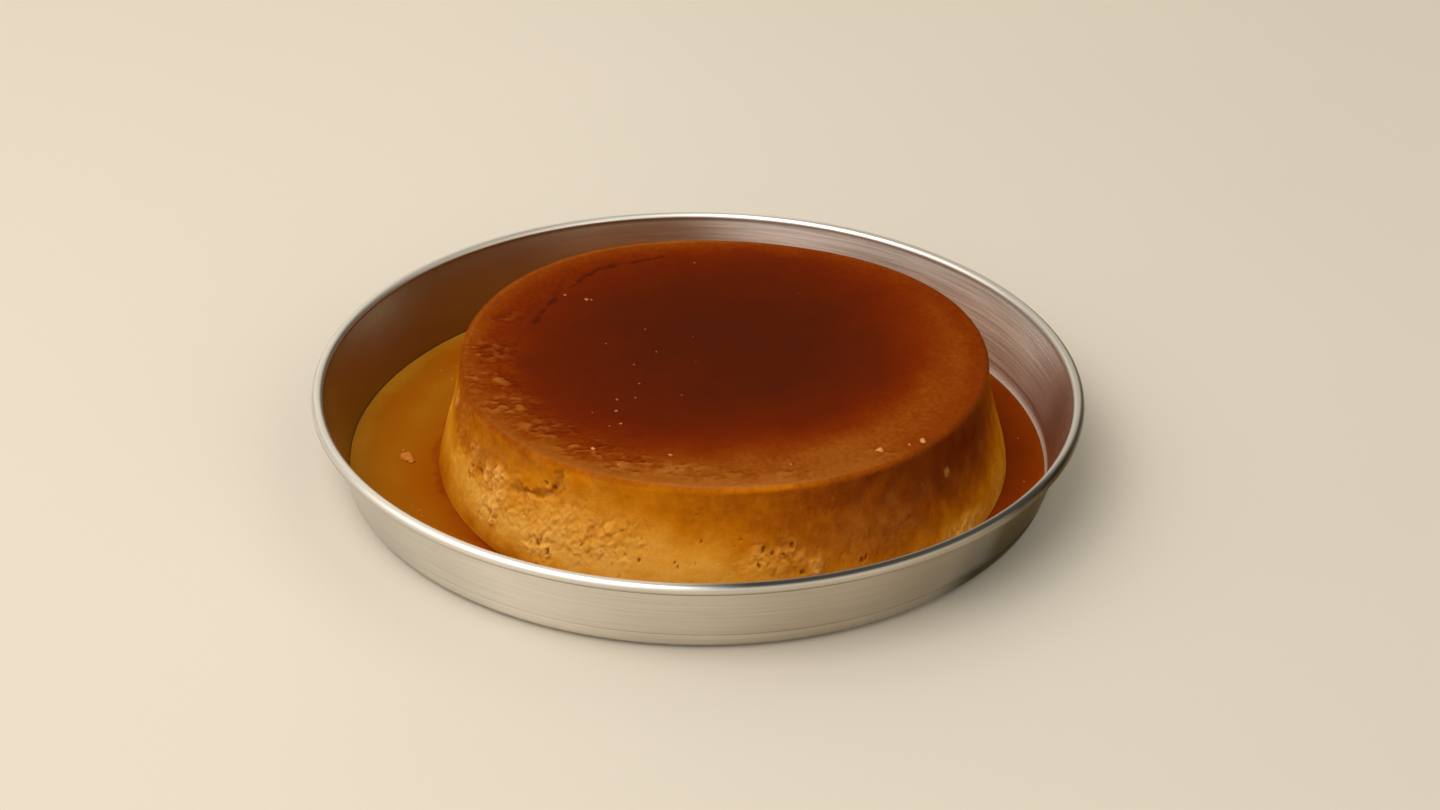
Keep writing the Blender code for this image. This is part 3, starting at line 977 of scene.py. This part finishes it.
def make_sauce(flan, material):
    """A ring of caramel from the flan's own surface to the tray's rounded corner."""
    lap = 0.0003  # how far the caramel creeps up what it touches
    row = int(np.argmin(np.abs(flan[..., 2].mean(1) - POOL_TOP - lap)))
    inner = flan[row, :, :2]
    angles = np.arctan2(inner[:, 1], inner[:, 0])
    around = np.stack((np.cos(angles), np.sin(angles)), -1)
    drop = CORNER_RADIUS - POOL_TOP
    outer_radius = FLOOR_RADIUS + math.sqrt((CORNER_RADIUS - SHEET) ** 2 - drop**2) - 0.00005
    outer = around * outer_radius
    width = np.linalg.norm(outer - inner, axis=1)
    rows = []
    depths = []
    for share in (1 - np.cos(np.linspace(0, np.pi, POOL_STEPS + 1))) / 2:
        flat = np.column_stack((inner + (outer - inner) * share, np.zeros(COLUMNS)))
        height = POOL_TOP + lap * np.exp(-share * width / 0.0015)
        height += bumps(flat, 0.016, 51) * 0.00006 + bumps(flat, 0.005, 52) * 0.00002
        rows.append(np.column_stack((flat[:, :2], height)))
        drift = bumps(flat, 0.022, 53) * 0.06 + bumps(flat * (0.5, 1, 1), 0.004, 54) * 0.035
        depths.append(by_angle_and_share(POOL_SHARES, POOL_DEPTH, angles, share + drift))
    bottom = np.full(COLUMNS, SHEET + 0.0001)
    bottom_outer = np.column_stack((around * (FLOOR_RADIUS - 0.002), bottom))
    bottom_inner = np.column_stack((flan[0, :, :2], bottom))
    grid = np.array([bottom_inner, *rows, bottom_outer])
    faces = [face[::-1] for face in grid_faces(len(grid), COLUMNS)]
    last = (len(grid) - 1) * COLUMNS
    faces += [(last + i, i, (i + 1) % COLUMNS, last + (i + 1) % COLUMNS) for i in range(COLUMNS)]
    sauce = add_piece("caramel_sauce", grid, faces, material, ("caramel_pool",))
    store(sauce, "depth", np.array([depths[0], *depths, depths[-1]]))


# ---- crumbs ----

# Crumbs lying on the top: (angle, percent of the top's radius, size in mm).
TOP_CRUMBS = (
    (237, 85, 0.85), (238, 85.5, 0.6), (309, 90, 1.2), (319, 96, 1.1), (316, 94, 0.6),
    (222, 52, 0.5), (228, 58, 0.5), (235, 64, 0.55), (233, 68, 0.35), (223, 65, 0.3),
    (226, 46, 0.35), (216, 38, 0.35), (193, 34, 0.35), (169, 45, 0.3), (145, 36, 0.3),
    (126, 19, 0.25), (174, 25, 0.3), (207, 11, 0.25), (244, 34, 0.25), (140, 69, 0.6),
    (139, 67.5, 0.4), (142, 78, 0.5), (287, 84, 0.6), (290, 93, 0.5), (256, 77, 0.6),
    (257, 87, 0.8), (246, 90, 0.9), (98, 78, 0.3), (60, 60, 0.3),
)
# Crumbs in the pool: (angle, distance from the tray's middle in mm, size in mm).
POOL_CRUMBS = (
    (185, 116, 2.7), (186.5, 114.2, 1.4), (182, 117.5, 0.6), (181, 115, 0.4), (150, 124, 0.5),
    (152, 116, 0.5), (147, 121, 0.4), (156, 119, 0.4), (205, 118.5, 0.6), (207, 119, 0.4),
    (203, 120, 0.4), (350, 131, 0.5), (5, 130, 0.4),
)


def make_crumbs(material):
    """Loose bits of custard, each a small lump of its own."""
    random = np.random.default_rng(5)
    places = []
    for angle, percent, size in TOP_CRUMBS:
        places.append((*top_place(angle, percent), FLAN_TOP - 0.0003, size * 1.15 / 1000))
    for angle, reach, size in POOL_CRUMBS:
        place = polar(0, reach / 1000, angle)
        places.append((*place, POOL_TOP - size * 0.0002, size / 1000))
    ball = bmesh.new()
    bmesh.ops.create_icosphere(ball, subdivisions=3, radius=1.0)
    shape = np.array([vertex.co[:] for vertex in ball.verts])
    triangles = np.array([[vertex.index for vertex in face.verts] for face in ball.faces])
    ball.free()
    vertices = []
    faces = []
    for index, (x, y, z, size) in enumerate(places):
        lump = 1 + 0.45 * bumps(shape + index * 3.7, 0.9, 61) + 0.2 * bumps(shape + index, 0.4, 62)
        points = shape * lump[:, None] * random.uniform(0.7, 1.15, 3) * (size, size, size * 0.7)
        turn = random.uniform(0, 2 * math.pi)
        turned = points @ np.array(Matrix.Rotation(turn, 3, "Z"))
        faces += (triangles + len(vertices) * len(shape)).tolist()
        vertices.append(turned + (x, y, z + size * 0.25))
    crumbs = add_piece("crumbs", np.vstack(vertices), faces, material)
    sizes = np.repeat([place[3] for place in places], len(shape))
    store(crumbs, "pale", smooth(0.0003, 0.0012, sizes))
    store(crumbs, "sunk", 0.85 * (np.arange(len(sizes)) >= len(TOP_CRUMBS) * len(shape)))


# ---- camera, light and floor ----


def make_camera():
    data = bpy.data.cameras.new("camera")
    data.lens = CAMERA_LENS
    data.sensor_width = SENSOR_WIDTH
    data.clip_end = 50
    camera = add_to_scene("camera", data)
    camera.matrix_world = Matrix.Translation(CAMERA_PLACE)
    for degrees, axis in ((-CAMERA_YAW, "Z"), (90 - CAMERA_PITCH, "X"), (CAMERA_ROLL, "Z")):
        camera.matrix_world = camera.matrix_world @ Matrix.Rotation(math.radians(degrees), 4, axis)
    bpy.context.scene.camera = camera


def direction(azimuth, elevation):
    """A unit vector towards this azimuth and elevation, in degrees."""
    turn, rise = math.radians(azimuth), math.radians(elevation)
    return Vector((math.cos(turn) * math.cos(rise), math.sin(turn) * math.cos(rise), math.sin(rise)))


def make_light(name, azimuth, elevation, distance, size, power):
    """A soft round light that faces the tray."""
    data = bpy.data.lights.new(name, "AREA")
    data.shape = "DISK"
    data.size = size
    data.energy = power
    data.color = LIGHT_COLOUR
    light = add_to_scene(name, data)
    towards = direction(azimuth, elevation)
    light.location = towards * distance
    light.rotation_euler = towards.to_track_quat("Z", "Y").to_euler()


# The room: brightness by the sine of the elevation, then soft patches of light and dark. A patch
# is how it mixes, its azimuth and elevation, and stops over the cosine of the angle from its middle.
SKY_STRENGTH = 2.0
SKY_STOPS = ((0.0, (137, 134, 129)), (0.36, (134, 130, 126)), (0.55, (75, 73, 70)), (0.85, (58, 57, 56)))
SKY_PATCHES = (
    ("LIGHTEN", 240, 32, ((0.66, (0, 0, 0)), (0.92, (190, 186, 180)))),  # in front
    ("LIGHTEN", 318, 26, ((0.8, (0, 0, 0)), (0.94, (212, 208, 200)))),  # in front to the right
    ("LIGHTEN", 12, 42, ((0.72, (0, 0, 0)), (0.9, (168, 164, 156)))),  # right
    ("LIGHTEN", 192, 35, ((0.76, (0, 0, 0)), (0.92, (212, 206, 198)))),  # left
    ("LIGHTEN", 100, 30, ((0.78, (0, 0, 0)), (0.89, (182, 176, 163)))),  # behind
    ("MULTIPLY", 36, 5, ((0.8, (255, 255, 255)), (0.9, (90, 90, 90)))),  # a dark corner, right
)


def make_sky():
    world = bpy.data.worlds.new("studio")
    bpy.context.scene.world = world
    world.use_nodes = True
    tree = world.node_tree
    place = add(tree, "TexCoord").outputs["Generated"]
    sky = ramp(tree, add(tree, "SeparateXYZ", {0: place}).outputs["Z"], SKY_STOPS)
    for blend, azimuth, elevation, stops in SKY_PATCHES:
        facing = vector_node(tree, "DOT_PRODUCT", place, tuple(direction(azimuth, elevation)))["Value"]
        sky = mix(tree, 1.0, sky, ramp(tree, facing, stops), blend)
    feed(tree, tree.nodes["Background"], {"Color": sky, "Strength": SKY_STRENGTH})


def make_floor(material):
    reach = 6.0
    corners = ((-reach, -reach, 0), (reach, -reach, 0), (reach, reach, 0), (-reach, reach, 0))
    mesh = bpy.data.meshes.new("floor")
    mesh.from_pydata(corners, [], [(0, 1, 2, 3)])
    mesh.materials.append(material)
    add_to_scene("floor", mesh)


# ---- build ----

bpy.context.scene.view_settings.view_transform = "Standard"
make_camera()
for name, settings in LIGHTS.items():
    make_light(name, *settings)
make_sky()
make_floor(floor_material())
make_tray(aluminium_material())
side_material = custard_material("baked_custard", SIDE_STOPS, 0.16, 0.5, 0.0003)
top_material = custard_material("caramel_soaked_custard", TOP_STOPS, 0.06, 0.34, 0.00005)
flan_surface = make_cheesecake(side_material, top_material)
make_sauce(flan_surface, sauce_material())
make_crumbs(crumb_material())
